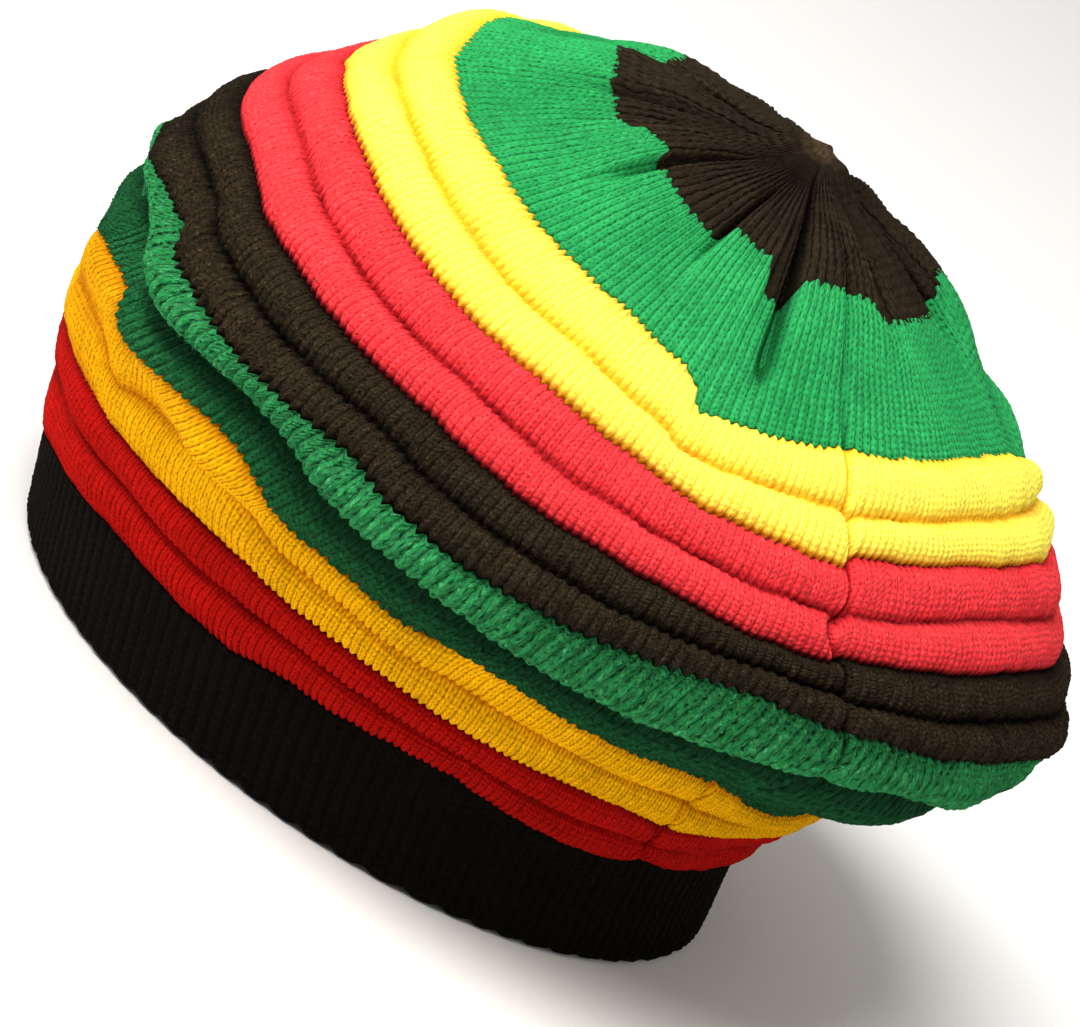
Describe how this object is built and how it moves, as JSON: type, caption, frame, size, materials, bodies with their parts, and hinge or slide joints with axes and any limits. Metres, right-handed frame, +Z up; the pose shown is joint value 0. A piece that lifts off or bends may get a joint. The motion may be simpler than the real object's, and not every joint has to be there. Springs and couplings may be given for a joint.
{
  "type": "slouchy knitted kufi cap",
  "caption": "Slouchy knitted cap in red, gold, green and black bands with a gathered crown and a ribbed rim, standing open on its rim.",
  "frame": {"origin": "middle of the cap's box, on the surface that its rim rests on", "axes": "+Z up, -Y towards the front of the cap, +X towards the wearer's left"},
  "size_m": [0.255, 0.2712, 0.1845],
  "materials": {
    "black_knit": "thick knitted acrylic, matt and slightly fuzzy",
    "deep_red_knit": "thick ribbed knit, matt",
    "gold_knit": "thick ribbed knit, matt",
    "deep_green_knit": "thick fuzzy knit, matt",
    "red_knit": "thick knit, matt",
    "yellow_knit": "thick knit, matt",
    "green_knit": "thick knit, matt"
  },
  "bodies": {
    "root": {"rim_band": "black_knit", "lower_red_stripe": "deep_red_knit", "lower_gold_stripe": "gold_knit", "lower_green_stripe": "deep_green_knit", "middle_black_stripe": "black_knit", "upper_red_stripe": "red_knit", "upper_yellow_stripe": "yellow_knit", "upper_green_stripe": "green_knit", "crown": "black_knit"}
  },
  "joints": []
}
